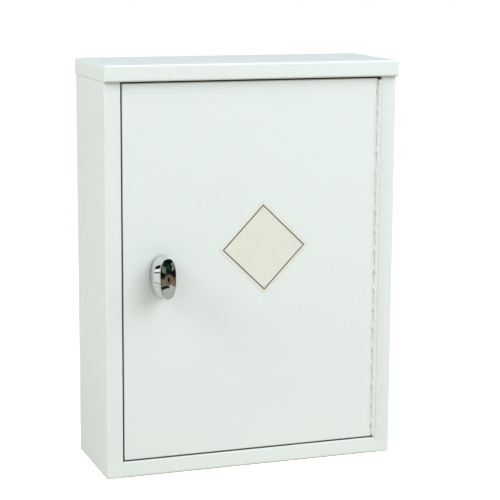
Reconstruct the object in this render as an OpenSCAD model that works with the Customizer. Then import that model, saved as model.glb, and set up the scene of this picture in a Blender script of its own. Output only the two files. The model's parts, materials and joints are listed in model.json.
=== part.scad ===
// Lockable steel medicine cabinet with one door on a piano hinge, a turning
// lock handle, two locking rods, a latch tongue and two adjustable shelves.
// Millimetres. The origin is the centre of the cabinet's underside, +X points
// to the right seen from the front, the front faces -Y, and +Z is up.

/* [Cabinet] */
// Width of the body, over the two side walls
cabinet_w = 355; // [300:5:450]
// Depth of the body, without the top cap's overhang
cabinet_d = 130; // [120:1:180]
// Height over everything
cabinet_h = 478; // [420:1:600]
// Thickness of the steel sheet
sheet = 1; // [0.8:0.1:1.2]
// Outside radius of a bend in the sheet
bend_r = 1.6; // [1.4:0.1:2.2]
// Width of the frame's visible face around the door
frame_face = 19.2; // [17:0.2:24]
// Depth of the reveal that the door closes into
reveal = 20.2; // [19.8:0.1:24]
// Width of the lip that the door stops against
stop_lip = 8; // [6:0.5:10]
// Width of the flange that holds the back panel
rear_flange = 12; // [8:1:16]

/* [Top cap] */
// Height of the cap's skirt
cap_skirt = 18.8; // [17:0.1:24]
// How far the cap stands out in front of the body
cap_front = 6.5; // [4:0.5:10]
// Radius of the cap's upper edges and corners
cap_edge_r = 2.4; // [1.2:0.1:2.6]
// Radius of the fold along the skirt's lower front edge
cap_fold_r = 2.4; // [1.2:0.1:3]

/* [Door] */
// Gap around the closed door
door_gap = 1.6; // [1:0.1:2]
// Thickness of the door
door_t = 18; // [17:0.1:18.6]
// Width of the door's inner rim
door_rim = 10; // [8:0.5:14]
// Radius of the door's corners, seen from the front
door_corner_r = 1.4; // [1:0.1:3]
// Width of the hat-section stiffener
stiffener_w = 30; // [20:1:50]
// Height of the stiffener above the door's skin
stiffener_h = 14; // [8:0.5:15]
// Gap from the stiffener to each end of the door
stiffener_end = 24; // [10:1:60]

/* [Hinge] */
// Diameter of the hinge pin
pin_d = 2.4; // [2:0.1:3]
// Thickness of a hinge leaf
leaf_t = 0.95; // [0.8:0.05:1.2]
// Depth of a hinge leaf, back from its barrel
leaf_w = 13; // [10:0.5:14]
// How far the pin's axis stands in front of the door's face
hinge_proud = 1; // [0.8:0.1:2]
// Distance between the cuts between knuckles
knuckle_pitch = 11.9; // [10:0.1:20]
// Length of the lowest knuckle, where the strip was cut off
knuckle_cut = 10.2; // [4:0.1:11]
// Gap between two knuckles
knuckle_gap = 0.3; // [0.3:0.05:0.6]
// Gap from the hinge to each end of the door
hinge_end = 2.2; // [1:0.1:10]

/* [Lock] */
// Distance from the cabinet's left side to the lock's axis
lock_inset = 65.5; // [60:0.5:90]
// Height of the lock's axis above the underside
lock_z = 237.7; // [200:0.1:280]
// Width of the handle at its foot
handle_foot_w = 26.4; // [26:0.1:32]
// Height of the handle at its foot
handle_foot_h = 49; // [40:0.5:60]
// Width of the handle's grip at the front
grip_w = 18.6; // [17:0.1:22]
// How far the grip stops short of the foot, above and below
grip_inset = 1; // [0:0.1:3]
// Width of the handle's waist
waist_w = 14; // [13.4:0.1:16]
// How far the waist stops short of the foot, above and below
waist_inset = 3; // [2.4:0.1:5]
// How far the middle of the foot sits below the lock's axis
foot_drop = 1; // [0:0.1:2]
// How far the middle of the grip sits above the lock's axis
grip_lift = 0.6; // [0:0.1:1.5]
// How far the grip's rim stands out from the door
grip_out = 27.6; // [26:0.2:32]
// Rise of the grip's domed face above its rim
grip_crown = 1.8; // [1:0.1:3]
// Diameter of the key plug
plug_d = 11; // [10:0.1:11.4]
// Wall of the collar around the key plug
plug_collar = 1.1; // [0.8:0.1:1.6]
// Diameter of the handle's stem in its bush
stem_d = 16; // [16:0.1:17]
// Wall of the bush around the stem
bush_wall = 3; // [2.8:0.1:3.4]
// Reach of the latch tongue from the lock's axis
tongue_reach = 45; // [44:0.5:50]
// Width of the latch tongue
tongue_w = 16; // [12:0.5:20]
// Distance from the lock's axis to the pins that drive the rods
drive_r = 9; // [8.6:0.1:10]
// Diameter of the drive pins
drive_pin_d = 3.5; // [3:0.1:3.8]

/* [Locking rods] */
// Width of a locking rod
rod_w = 12; // [10:0.5:14]
// Thickness of a locking rod
rod_t = 2.5; // [2:0.1:2.6]
// Sideways distance from the lock's axis to the middle of a rod
rod_offset = 4.5; // [4:0.1:6]
// Depth of the rods' front face behind the door's face
rod_depth = 6.3; // [6.2:0.1:6.6]
// Height of a rod guide
guide_h = 16; // [10:1:30]
// Gap from the end of the door to the nearest rod guide
guide_end = 46; // [20:1:80]

/* [Shelves] */
// Depth of a shelf, front to back
shelf_d = 94; // [80:1:95]
// Height of the fold along a shelf's front edge
shelf_front = 14; // [10:0.5:20]
// Height of the fold along a shelf's back edge
shelf_back = 12; // [8:0.5:20]
// Distance between the slots for the shelf clips
slot_pitch = 25; // [20:1:40]
// Number of slots in each strip
slot_count = 16; // [13:1:17]
// Slot that holds the lower shelf, counted from the bottom
lower_slot = 5; // [2:1:6]
// Slot that holds the upper shelf, counted from the bottom
upper_slot = 11; // [8:1:13]
// Width of a slotted strip
strip_w = 14; // [12:0.5:18]
// Depth of a slotted strip
strip_t = 5; // [4:0.5:8]

/* [Wall fixing] */
// Sideways distance between the wall screws
wall_w = 255; // [200:5:260]
// Upright distance between the wall screws
wall_h = 375; // [360:5:380]
// Diameter of the holes for the wall screws
wall_hole_d = 7; // [5:0.5:9]

/* [Hidden] */
$fn = 64;

// Clearances
running = 0.05;      // around a shaft that turns in its bore, and beside a slide
free_gap = 0.3;      // between two pieces that pass each other
eps = 0.5;           // how far a cutter runs past the face it cuts

// Planes of the body
half_w = cabinet_w / 2;
front_y = -cabinet_d / 2;
back_y = cabinet_d / 2;
body_top = cabinet_h - sheet;
cap_low = cabinet_h - cap_skirt;
inside_w = cabinet_w - 2 * sheet;
back_panel_y = back_y - 2 * sheet;

// The opening in the frame, and its stop lips
opening_x = half_w - frame_face;
opening_low = frame_face;
opening_top = cap_low - 0.3;
lip_x = opening_x - stop_lip;
lip_y = front_y + reveal - sheet;
rail_return = 3;

// The hinge's axis and leaves
barrel_r = pin_d / 2 + running + leaf_t;
hinge_x = opening_x - barrel_r;
hinge_y = front_y - hinge_proud;
leaf_start = barrel_r + 0.4;

// The door's edges
door_left = -opening_x + door_gap;
door_right = hinge_x - barrel_r;
door_low = opening_low + door_gap;
door_top = opening_top - door_gap;
door_w = door_right - door_left;
door_h = door_top - door_low;
door_back_y = front_y + door_t;
door_hinge_edge_r = 0.4;   // the skin is dressed flat where it meets the hinge
door_mid_x = (door_left + door_right) / 2;

// Knuckles of the hinge, counted from the bottom; the frame has the even ones
hinge_low = door_low + hinge_end;
hinge_len = door_h - 2 * hinge_end;
knuckle_count = 1 + ceil((hinge_len - knuckle_cut) / knuckle_pitch);
function knuckle_start(i) = i == 0 ? 0 : knuckle_cut + (i - 1) * knuckle_pitch + knuckle_gap / 2;
function knuckle_end(i) =
    i == knuckle_count - 1 ? hinge_len : knuckle_cut + i * knuckle_pitch - knuckle_gap / 2;

// The lock, front to back: every depth is measured behind the door's face
lock_x = -half_w + lock_inset;
bush_flange = 0.8;
bush_flange_r = stem_d / 2 + bush_wall + 1.6;
bush_r = stem_d / 2 + bush_wall;
bush_end = 5.2;
washer_t = 0.6;
nut_t = 3.2;
nut_af = 2 * bush_r + 6;
stem_end = 5.4;
plate_depth = rod_depth + rod_t + 0.4;
plate_t = 2;
tongue_depth = reveal + 0.4;
tongue_t = 2.5;
tongue_hub_r = 10;
tongue_tip_cut = 4;
spacer_r = 6.2;
spacer_bore_r = 4.4;
screw_washer_t = 1;
neck_r = 3.5;
square_w = 6;
grip_h = handle_foot_h - 2 * grip_inset;
waist_h = handle_foot_h - 2 * waist_inset;
collar_r = plug_d / 2 + plug_collar;
collar_out = grip_out + grip_crown + 1.6;
plug_bore_end = 4;
foot_depth = bush_flange + free_gap;

// How far out from the door the handle's foot, shoulder, waist and flare are
foot_out = 3;
shoulder_out = 11;
waist_out = 18.5;
flare_out = 25;
rim_r = 1.3;
shoulder_inset_w = 1.5;
shoulder_inset_h = 1.1;

// The bolt that the key moves, and the crank pin at the plug's tail
bolt_depth = 1.5;
bolt_t = 2.8;
bolt_w = 6;
bolt_tip = sqrt(pow(stem_d / 2 - running, 2) - pow(bolt_w / 2, 2)) - 0.1;
bolt_tail = 4.5;
crank_r = 1.3;
crank_pin_d = 1.6;
bolt_travel = crank_r * sqrt(2);

// The rods' stroke: their pins swing from 45 degrees before level to 45 after
drive_xz = drive_r / sqrt(2);
rod_travel = 2 * drive_xz;
rod_slot_w = drive_pin_d + 1.2;
rod_head_w = 10.6;
rod_head_in = neck_r + 0.4;
rod_tip_inset = 0.5;
rod_side_gap = 2;
rod_back = rod_depth + rod_t;

// The shelves and what carries them
slot_low = 52.5;
slot_h = 8;
slot_w = 3;
strip_end = 14;
strip_low = slot_low - strip_end;
strip_len = (slot_count - 1) * slot_pitch + 2 * strip_end;
strip_face_x = half_w - sheet - strip_t;
strip_ys = [-12, 40];
clip_w = 10;
clip_t = 1.2;
clip_ledge = 10;
clip_h = 12;
shelf_w = 2 * strip_face_x - 2;
shelf_back_y = back_panel_y - 1;
function shelf_z(slot) = slot_low + (slot - 1) * slot_pitch + slot_h / 2 - 1;

white = [0.9, 0.92, 0.89];
steel = [0.66, 0.67, 0.68];
chrome = [0.8, 0.8, 0.82];
dark_steel = [0.35, 0.35, 0.37];

// ---- Folded sheet ----

// One flat stretch of a folded sheet, along X or along Y
module flat_stretch(a, b) {
    low = [min(a.x, b.x), min(a.y, b.y)];
    size = [abs(b.x - a.x), abs(b.y - a.y)];
    thick = [size.x == 0 ? sheet : 0, size.y == 0 ? sheet : 0];
    translate(low - thick / 2) square(size + thick);
}

// A quarter bend: turn is +1 or -1 in X and Y, towards the outside of the corner
module quarter_bend(centre, turn) {
    translate(centre)
        intersection() {
            difference() {
                circle(r = bend_r);
                circle(r = bend_r - sheet);
            }
            translate([turn.x > 0 ? 0 : -bend_r, turn.y > 0 ? 0 : -bend_r]) square(bend_r);
        }
}

// The outline of a folded sheet whose middle follows right-angled points
module folded(points) {
    mid_r = bend_r - sheet / 2;
    last = len(points) - 1;
    along = [for (i = [0 : last - 1])
        (points[i + 1] - points[i]) / norm(points[i + 1] - points[i])];
    for (i = [0 : last - 1])
        flat_stretch(
            points[i] + along[i] * (i == 0 ? 0 : mid_r),
            points[i + 1] - along[i] * (i == last - 1 ? 0 : mid_r));
    for (i = [1 : last - 1])
        quarter_bend(points[i] - along[i - 1] * mid_r + along[i] * mid_r, along[i - 1] - along[i]);
}

// Stands an outline drawn in X and depth upright, from one height to another
module upright(low, top) {
    translate([0, 0, low]) linear_extrude(height = top - low) children();
}

// Runs an outline drawn in Y and Z across the cabinet
module across(left, right) {
    translate([left, 0, 0])
        rotate([90, 0, 90])
            linear_extrude(height = right - left) children();
}

// Runs an outline drawn in X and Z from the front to the back
module from_front(front, back) {
    translate([0, back, 0])
        rotate([90, 0, 0])
            linear_extrude(height = back - front) children();
}

// A box given by its lowest and highest corners
module box(low, high) {
    translate(low) cube(high - low);
}

// A rectangle with a radius at each corner: low left, low right, top right, top left
module rounded(low, high, radii) {
    corners = [[low.x, low.y], [high.x, low.y], [high.x, high.y], [low.x, high.y]];
    inward = [[1, 1], [-1, 1], [-1, -1], [1, -1]];
    difference() {
        translate(low) square(high - low);
        for (i = [0 : 3])
            if (radii[i] > 0)
                difference() {
                    translate(corners[i] + [inward[i].x > 0 ? -eps : -radii[i],
                                            inward[i].y > 0 ? -eps : -radii[i]])
                        square(radii[i] + eps);
                    translate(corners[i] + inward[i] * radii[i]) circle(r = radii[i]);
                }
    }
}

// ---- Cabinet body ----

// One side of the body: wall, rear flange, frame face, reveal and stop lip in one folded sheet
module side_panel() {
    wall_x = -half_w + sheet / 2;
    difference() {
        upright(0, body_top)
            folded([
                [-half_w + rear_flange, back_y - sheet / 2],
                [wall_x, back_y - sheet / 2],
                [wall_x, front_y + sheet / 2],
                [-opening_x - sheet / 2, front_y + sheet / 2],
                [-opening_x - sheet / 2, lip_y + sheet / 2],
                [-lip_x, lip_y + sheet / 2]
            ]);
        // the lip is cut short at both ends of the opening
        box([-opening_x, lip_y - eps, -eps], [-lip_x + eps, lip_y + sheet + eps, opening_low]);
        box([-opening_x, lip_y - eps, opening_top],
            [-lip_x + eps, lip_y + sheet + eps, body_top + eps]);
        // the rear flange stops under the cap's skirt
        box([-half_w - eps, back_y - sheet, cap_low],
            [-half_w + rear_flange + eps, back_y + eps, body_top + eps]);
    }
}

module side_panel_left() {
    color(white) side_panel();
}

module side_panel_right() {
    color(white) mirror([1, 0, 0]) side_panel();
}

// The back sheet stops where the side sheets' bends begin
module back_panel() {
    side = half_w - bend_r;
    color(white)
        difference() {
            box([-side, back_panel_y, sheet], [side, back_panel_y + sheet, body_top]);
            for (x = [-1, 1], z = [-1, 1])
                translate([x * wall_w / 2, back_panel_y - eps, cabinet_h / 2 + z * wall_h / 2])
                    rotate([-90, 0, 0]) cylinder(d = wall_hole_d, h = sheet + 2 * eps);
        }
}

module base_panel() {
    rear_rise = 15;
    color(white)
        difference() {
            across(-inside_w / 2, inside_w / 2)
                folded([
                    [back_panel_y - sheet / 2, rear_rise],
                    [back_panel_y - sheet / 2, sheet / 2],
                    [front_y + sheet / 2, sheet / 2],
                    [front_y + sheet / 2, opening_low - sheet / 2],
                    [front_y + rail_return, opening_low - sheet / 2]
                ]);
            // room for the frame's uprights
            for (side = [-1, 1])
                translate([side * (opening_x + frame_face / 2), 0, 0])
                    box([-frame_face / 2, front_y - eps, -eps],
                        [frame_face / 2, lip_y + sheet + free_gap, opening_low + eps]);
        }
}

module header_rail() {
    cap_flange = 16;
    color(white)
        across(-opening_x, opening_x)
            folded([
                [front_y + cap_flange, body_top - sheet / 2],
                [front_y + sheet / 2, body_top - sheet / 2],
                [front_y + sheet / 2, opening_top + sheet / 2],
                [front_y + rail_return, opening_top + sheet / 2]
            ]);
}

// The angle strip welded inside a rail: it stops the door, and stops short on each side
// of the way that a rod's end takes. Drawn for the bottom rail, with its top at z = 0.
module stop_strip(rod_x) {
    way = rod_w / 2 + rod_side_gap;
    weld_flange = 11;
    difference() {
        for (ends = [[-opening_x, rod_x - way], [rod_x + way, opening_x]])
            across(ends[0], ends[1])
                folded([
                    [front_y + 1.5 * sheet, -weld_flange],
                    [front_y + 1.5 * sheet, -sheet / 2],
                    [lip_y + sheet / 2, -sheet / 2],
                    [lip_y + sheet / 2, sheet + stop_lip]
                ]);
        // room for the uprights' stop lips
        for (side = [-1, 1])
            translate([side * (lip_x + stop_lip), 0, 0])
                box([-stop_lip, lip_y - eps, sheet],
                    [stop_lip, lip_y + sheet + eps, sheet + stop_lip + eps]);
    }
}

module bottom_stop() {
    color(white)
        translate([0, 0, opening_low - sheet]) stop_strip(lock_x - rod_offset);
}

module header_stop() {
    color(white)
        translate([0, 0, opening_top + sheet]) mirror([0, 0, 1]) stop_strip(lock_x + rod_offset);
}

module top_cap() {
    out_w = half_w + sheet;
    front = front_y - cap_front;
    color(white)
        difference() {
            intersection() {
                across(-out_w, out_w)
                    rounded([front, cap_low], [back_y, cabinet_h],
                            [cap_fold_r, 0, cap_edge_r, cap_edge_r]);
                from_front(front, back_y)
                    rounded([-out_w, cap_low], [out_w, cabinet_h], [0, 0, cap_edge_r, cap_edge_r]);
                upright(cap_low, cabinet_h)
                    rounded([-out_w, front], [out_w, back_y], [cap_edge_r, cap_edge_r, 1, 1]);
            }
            box([-half_w, front_y, cap_low - eps], [half_w, back_y - sheet, body_top]);
            box([-half_w, front + sheet, cap_low + sheet], [half_w, front_y + eps, body_top]);
        }
}

// ---- Shelves ----

// Two slotted strips on one side wall
module strips() {
    color(white)
        for (y = strip_ys)
            difference() {
                upright(strip_low, strip_low + strip_len)
                    translate([-half_w + sheet, y - strip_w / 2])
                        difference() {
                            square([strip_t, strip_w]);
                            translate([-eps, sheet]) square([strip_t - sheet + eps, strip_w - 2 * sheet]);
                        }
                for (slot = [1 : slot_count])
                    translate([-strip_face_x - sheet - eps, y - slot_w / 2,
                               slot_low + (slot - 1) * slot_pitch - slot_h / 2])
                        cube([sheet + 2 * eps, slot_w, slot_h]);
            }
}

module strips_left() {
    strips();
}

module strips_right() {
    mirror([1, 0, 0]) strips();
}

// An angle clip with a tongue in a slot; the shelf lies on its ledge
module shelf_clip(y, slot) {
    z = shelf_z(slot);
    x = -strip_face_x;
    box([x, y - clip_w / 2, z - clip_h], [x + clip_t, y + clip_w / 2, z]);
    box([x, y - clip_w / 2, z - clip_t], [x + clip_ledge, y + clip_w / 2, z]);
    box([x - sheet - 1.5, y - slot_w / 2 + 0.2, z - slot_h + 1.5],
        [x + clip_t / 2, y + slot_w / 2 - 0.2, z - 1.5]);
}

module shelf_clips() {
    color(steel)
        for (side = [0, 1], y = strip_ys, slot = [lower_slot, upper_slot])
            mirror([side, 0, 0]) shelf_clip(y, slot);
}

module shelf(z) {
    hem = 8;
    back = shelf_back_y - sheet / 2;
    front = shelf_back_y - shelf_d + sheet / 2;
    color(white)
        across(-shelf_w / 2, shelf_w / 2)
            folded([
                [back, z + shelf_back],
                [back, z + sheet / 2],
                [front, z + sheet / 2],
                [front, z - shelf_front + sheet],
                [front + hem, z - shelf_front + sheet]
            ]);
}

module lower_shelf() {
    shelf(shelf_z(lower_slot));
}

module upper_shelf() {
    shelf(shelf_z(upper_slot));
}

// Rubber buttons on the stop lip, just short of the closed door
module door_buffers() {
    buffer_r = 3.2;
    buffer_end = 40;
    color("dimgray")
        for (z = [door_low + buffer_end, door_top - buffer_end])
            translate([-opening_x + sheet + buffer_r, door_back_y + free_gap, z])
                rotate([-90, 0, 0])
                    cylinder(r = buffer_r, h = lip_y - door_back_y - free_gap);
}

// ---- Hinge ----

// One leaf, drawn about the pin's axis: the plate, with every second knuckle
module hinge_leaf(first) {
    bore_r = pin_d / 2 + running;
    for (i = [first : 2 : knuckle_count - 1])
        upright(knuckle_start(i), knuckle_end(i))
            difference() {
                union() {
                    circle(r = barrel_r);
                    translate([barrel_r - leaf_t, 0]) square([leaf_t, leaf_start + 1]);
                }
                circle(r = bore_r);
            }
    upright(0, hinge_len)
        translate([barrel_r - leaf_t, leaf_start]) square([leaf_t, leaf_w]);
}

module hinge_frame_leaf() {
    color(white) translate([hinge_x, hinge_y, hinge_low]) hinge_leaf(0);
}

module hinge_door_leaf() {
    color(white) translate([hinge_x, hinge_y, hinge_low]) mirror([1, 0, 0]) hinge_leaf(1);
}

module hinge_pin() {
    color(steel) translate([hinge_x, hinge_y, hinge_low]) cylinder(d = pin_d, h = hinge_len);
}

// ---- Door ----

// The slot in the door's edge that a rod slides through
module rod_way(x, low, top) {
    box([x - rod_w / 2 - 0.6, front_y + rod_depth - 0.6, low],
        [x + rod_w / 2 + 0.6, front_y + rod_back + 0.6, top]);
}

module door_pan() {
    low = [door_left, door_low];
    high = [door_right, door_top];
    inner = sheet + door_rim;
    color(white)
        difference() {
            intersection() {
                from_front(front_y, door_back_y)
                    rounded(low, high, [for (i = [0 : 3]) door_corner_r]);
                upright(door_low, door_top)
                    rounded([door_left, front_y], [door_right, door_back_y],
                            [bend_r, door_hinge_edge_r, 1, 1]);
                across(door_left, door_right)
                    rounded([front_y, door_low], [door_back_y, door_top], [bend_r, 1, 1, bend_r]);
            }
            box([door_left + sheet, front_y + sheet, door_low + sheet],
                [door_right - sheet, door_back_y - sheet, door_top - sheet]);
            box([door_left + inner, door_back_y - 2 * sheet, door_low + inner],
                [door_right - inner, door_back_y + eps, door_top - inner]);
            translate([lock_x, front_y - eps, lock_z])
                rotate([-90, 0, 0]) cylinder(r = bush_r + 0.1, h = sheet + 2 * eps);
            rod_way(lock_x - rod_offset, door_low - eps, door_low + sheet + eps);
            rod_way(lock_x + rod_offset, door_top - sheet - eps, door_top + eps);
        }
}

module door_stiffener() {
    flange = 10;
    foot_y = front_y + 1.5 * sheet;
    crown_y = front_y + sheet / 2 + stiffener_h;
    color(white)
        upright(door_low + stiffener_end, door_top - stiffener_end)
            translate([door_mid_x, 0])
                folded([
                    [-stiffener_w / 2 - flange, foot_y],
                    [-stiffener_w / 2, foot_y],
                    [-stiffener_w / 2, crown_y],
                    [stiffener_w / 2, crown_y],
                    [stiffener_w / 2, foot_y],
                    [stiffener_w / 2 + flange, foot_y]
                ]);
}

// A staple over a rod, welded to the back of the door's skin
module rod_guide(x, z) {
    foot_y = front_y + 1.5 * sheet;
    bridge_y = front_y + rod_back + free_gap + sheet / 2;
    leg_x = rod_w / 2 + 0.6 + sheet / 2;
    foot = 7;
    upright(z - guide_h / 2, z + guide_h / 2)
        translate([x, 0])
            folded([
                [-leg_x - foot, foot_y], [-leg_x, foot_y], [-leg_x, bridge_y],
                [leg_x, bridge_y], [leg_x, foot_y], [leg_x + foot, foot_y]
            ]);
}

module rod_guides() {
    color(white) {
        rod_guide(lock_x - rod_offset, door_low + guide_end);
        rod_guide(lock_x + rod_offset, door_top - guide_end);
    }
}

// ---- Lock ----

// Turns and moves what is drawn along +Z so that it runs back along the lock's axis
module on_lock(depth) {
    translate([lock_x, front_y + depth, lock_z]) rotate([-90, 0, 0]) children();
}

// A block placed by its sideways, depth and upright ranges about the lock's axis
module lock_block(low, high) {
    translate([lock_x, front_y, lock_z]) box(low, high);
}

module lock_bush() {
    notch = bush_r - 1.2;
    color(chrome)
        difference() {
            union() {
                on_lock(-bush_flange) cylinder(r = bush_flange_r, h = bush_flange);
                on_lock(-bush_flange / 2) cylinder(r = bush_r, h = bush_end + bush_flange / 2);
            }
            on_lock(-bush_flange - eps)
                cylinder(r = stem_d / 2 + running, h = bush_end + bush_flange + 2 * eps);
            // notches for the bolt, with the handle upright and turned
            lock_block([0, bolt_depth - free_gap, -bolt_w / 2 - free_gap],
                       [notch, bush_end + eps, bolt_w / 2 + free_gap]);
            lock_block([-bolt_w / 2 - free_gap, bolt_depth - free_gap, 0],
                       [bolt_w / 2 + free_gap, bush_end + eps, notch]);
        }
}

module lock_washer() {
    color(steel)
        on_lock(sheet)
            difference() {
                cylinder(r = bush_r + 3, h = washer_t);
                translate([0, 0, -eps]) cylinder(r = bush_r + 0.1, h = washer_t + 2 * eps);
            }
}

module lock_nut() {
    color(steel)
        on_lock(sheet + washer_t)
            difference() {
                cylinder(d = nut_af / cos(30), h = nut_t, $fn = 6);
                translate([0, 0, -eps]) cylinder(r = bush_r + 0.05, h = nut_t + 2 * eps);
            }
}

// Half a size of the handle at a distance out from the door: a rounded foot, a
// straight slope from its shoulder to the waist, and a flare up to the grip
function handle_half(out, foot, shoulder, waist, grip) =
    let (flare = (out - waist_out) / (flare_out - waist_out))
    out < foot_out ? foot - 0.6 * pow((foot_out - out) / (foot_out - foot_depth), 2)
    : out < shoulder_out ? foot - (foot - shoulder) * pow((out - foot_out) / (shoulder_out - foot_out), 2.2)
    : out < waist_out ? shoulder + (waist - shoulder) * (out - shoulder_out) / (waist_out - shoulder_out)
    : out < flare_out ? waist + (grip - waist) * flare * flare * (3 - 2 * flare)
    : grip;

// The foot sits a little below the lock's axis and the grip a little above it
function handle_lift(out) =
    -foot_drop + (grip_lift + foot_drop) * min(1, max(0, (out - foot_out) / (flare_out - foot_out)));

// One ring of the handle: [distance out, half width, half height, rise above the axis]
function handle_ring(out) = [out,
    handle_half(out, handle_foot_w / 2, handle_foot_w / 2 - shoulder_inset_w, waist_w / 2, grip_w / 2),
    handle_half(out, handle_foot_h / 2, handle_foot_h / 2 - shoulder_inset_h, waist_h / 2, grip_h / 2),
    handle_lift(out)];

// The ring where the flank rolls over into the face
function rim_ring(angle) =
    [grip_out - rim_r + rim_r * sin(angle),
     grip_w / 2 - rim_r + rim_r * cos(angle),
     grip_h / 2 - rim_r + rim_r * cos(angle),
     grip_lift];

// A ring of the domed face, shrunk towards the middle
function face_ring(share) =
    [grip_out + grip_crown * (1 - share * share),
     (grip_w / 2 - rim_r) * share,
     (grip_h / 2 - rim_r) * share,
     grip_lift * share];

// A point of a ring, on an oval that is fuller than an ellipse
function oval_point(ring, angle) =
    let (c = cos(angle), s = sin(angle), fullness = 2 / 2.4)
    [ring[1] * sign(c) * pow(abs(c), fullness),
     -ring[0],
     ring[2] * sign(s) * pow(abs(s), fullness) + ring[3]];

// A closed skin through rings that all have the same number of points
module loft(rings, sides) {
    last = len(rings) - 1;
    polyhedron(
        points = [for (ring = rings) for (k = [0 : sides - 1]) oval_point(ring, (k + 0.5) * 360 / sides)],
        faces = concat(
            [[for (k = [0 : sides - 1]) k]],
            [for (j = [0 : last - 1]) for (k = [0 : sides - 1])
                let (m = (k + 1) % sides)
                each [[j * sides + k, (j + 1) * sides + m, j * sides + m],
                      [j * sides + k, (j + 1) * sides + k, (j + 1) * sides + m]]],
            [[for (k = [0 : sides - 1]) last * sides + sides - 1 - k]]),
        convexity = 4);
}

module turn_handle() {
    rings = concat(
        [for (out = [foot_depth, 2, foot_out, 5.5, 8, 9.6, shoulder_out,
                     waist_out, 20, 21.5, 23, 24.2, flare_out]) handle_ring(out)],
        [for (angle = [0 : 30 : 90]) rim_ring(angle)],
        [for (share = [0.8, 0.6, 0.35]) face_ring(share)]);
    color(chrome)
        difference() {
            union() {
                translate([lock_x, front_y, lock_z]) loft(rings, 40);
                on_lock(-foot_depth - 1) cylinder(d = stem_d, h = stem_end + foot_depth + 1);
                on_lock(-collar_out) cylinder(r = collar_r, h = 8);
                on_lock(stem_end - 1) cylinder(r = neck_r, h = plate_depth - stem_end + 1);
                lock_block([-square_w / 2, plate_depth - 0.5, -square_w / 2],
                           [square_w / 2, tongue_depth + tongue_t - 0.1, square_w / 2]);
            }
            // the key plug's bore, the crank's way and the bolt's slide
            on_lock(-collar_out - eps) cylinder(r = plug_d / 2, h = collar_out + eps - plug_bore_end);
            on_lock(-plug_bore_end - eps)
                cylinder(r = crank_r + crank_pin_d / 2 + free_gap, h = plug_bore_end + bolt_depth + eps);
            lock_block([-bolt_tail - free_gap, bolt_depth - 0.1, -bolt_w / 2 - running],
                       [stem_d, bolt_depth + bolt_t + 0.1, bolt_w / 2 + running]);
            // the tapped hole for the latch screw
            on_lock(tongue_depth + tongue_t - 12) cylinder(r = 2.55, h = 12 + eps);
        }
}

// The plate that drives the two rods, with its two pins
module drive_plate() {
    color(steel)
        difference() {
            union() {
                on_lock(plate_depth) cylinder(r = drive_r + 4, h = plate_t);
                for (side = [-1, 1])
                    translate([side * drive_xz, 0, -side * drive_xz])
                        on_lock(rod_depth - 0.3)
                            cylinder(d = drive_pin_d, h = plate_depth + plate_t - rod_depth + 0.3);
            }
            square_hole(plate_depth, plate_t);
        }
}

// The square hole that fits over the handle's spindle
module square_hole(depth, thick) {
    half = square_w / 2 + running;
    lock_block([-half, depth - eps, -half], [half, depth + thick + eps, half]);
}

module latch_spacer() {
    color(steel)
        on_lock(plate_depth + plate_t)
            difference() {
                cylinder(r = spacer_r, h = tongue_depth - plate_depth - plate_t);
                translate([0, 0, -eps]) cylinder(r = spacer_bore_r, h = tongue_depth);
            }
}

module latch_tongue() {
    tip_z = tongue_reach - tongue_tip_cut;
    tip_x = tongue_w / 2 - tongue_tip_cut;
    color(steel)
        difference() {
            translate([lock_x, front_y + tongue_depth + tongue_t, lock_z])
                rotate([90, 0, 0])
                    linear_extrude(height = tongue_t)
                        union() {
                            circle(r = tongue_hub_r);
                            polygon([
                                [-tongue_w / 2, 0], [tongue_w / 2, 0], [tongue_w / 2, tip_z],
                                [tip_x, tongue_reach], [-tip_x, tongue_reach], [-tongue_w / 2, tip_z]
                            ]);
                        }
            square_hole(tongue_depth, tongue_t);
        }
}

module latch_washer() {
    color(steel)
        on_lock(tongue_depth + tongue_t)
            difference() {
                cylinder(r = 6, h = screw_washer_t);
                translate([0, 0, -eps]) cylinder(r = 2.7, h = screw_washer_t + 2 * eps);
            }
}

module latch_screw() {
    head_r = 4.5;
    head_t = 2.8;
    start = tongue_depth + tongue_t + screw_washer_t;
    color(steel)
        difference() {
            union() {
                on_lock(start) cylinder(r = head_r, h = head_t);
                on_lock(start - 10) cylinder(r = 2.5, h = 10.5);
            }
            for (turned = [0, 90])
                translate([lock_x, front_y + start + head_t, lock_z])
                    rotate([0, turned, 0]) box([-2.6, -1.4, -0.5], [2.6, eps, 0.5]);
        }
}

module key_plug() {
    keyway_w = 1.9;
    keyway_h = 6.2;
    face_out = collar_out - 0.4;
    color([0.62, 0.55, 0.46])
        difference() {
            union() {
                on_lock(-face_out)
                    cylinder(r = plug_d / 2 - running, h = face_out - plug_bore_end - running);
                translate([-crank_r / sqrt(2), 0, crank_r / sqrt(2)])
                    on_lock(-plug_bore_end - 1)
                        cylinder(d = crank_pin_d, h = plug_bore_end + bolt_depth + bolt_t - 0.3 + 1);
            }
            lock_block([-keyway_w / 2, -face_out - eps, -keyway_h / 2],
                       [keyway_w / 2, -face_out + 12, keyway_h / 2]);
        }
}

// The bolt that slides out of the stem when the key turns the plug
module locking_bolt() {
    crank_x = -crank_r / sqrt(2);
    slot = crank_pin_d / 2 + free_gap;
    color(steel)
        difference() {
            lock_block([-bolt_tail, bolt_depth, -bolt_w / 2],
                       [bolt_tip, bolt_depth + bolt_t, bolt_w / 2]);
            lock_block([crank_x - slot, bolt_depth - eps, -crank_x - slot],
                       [crank_x + slot, bolt_depth + bolt_t + eps, crank_r + slot]);
        }
}

// ---- Locking rods ----

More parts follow.
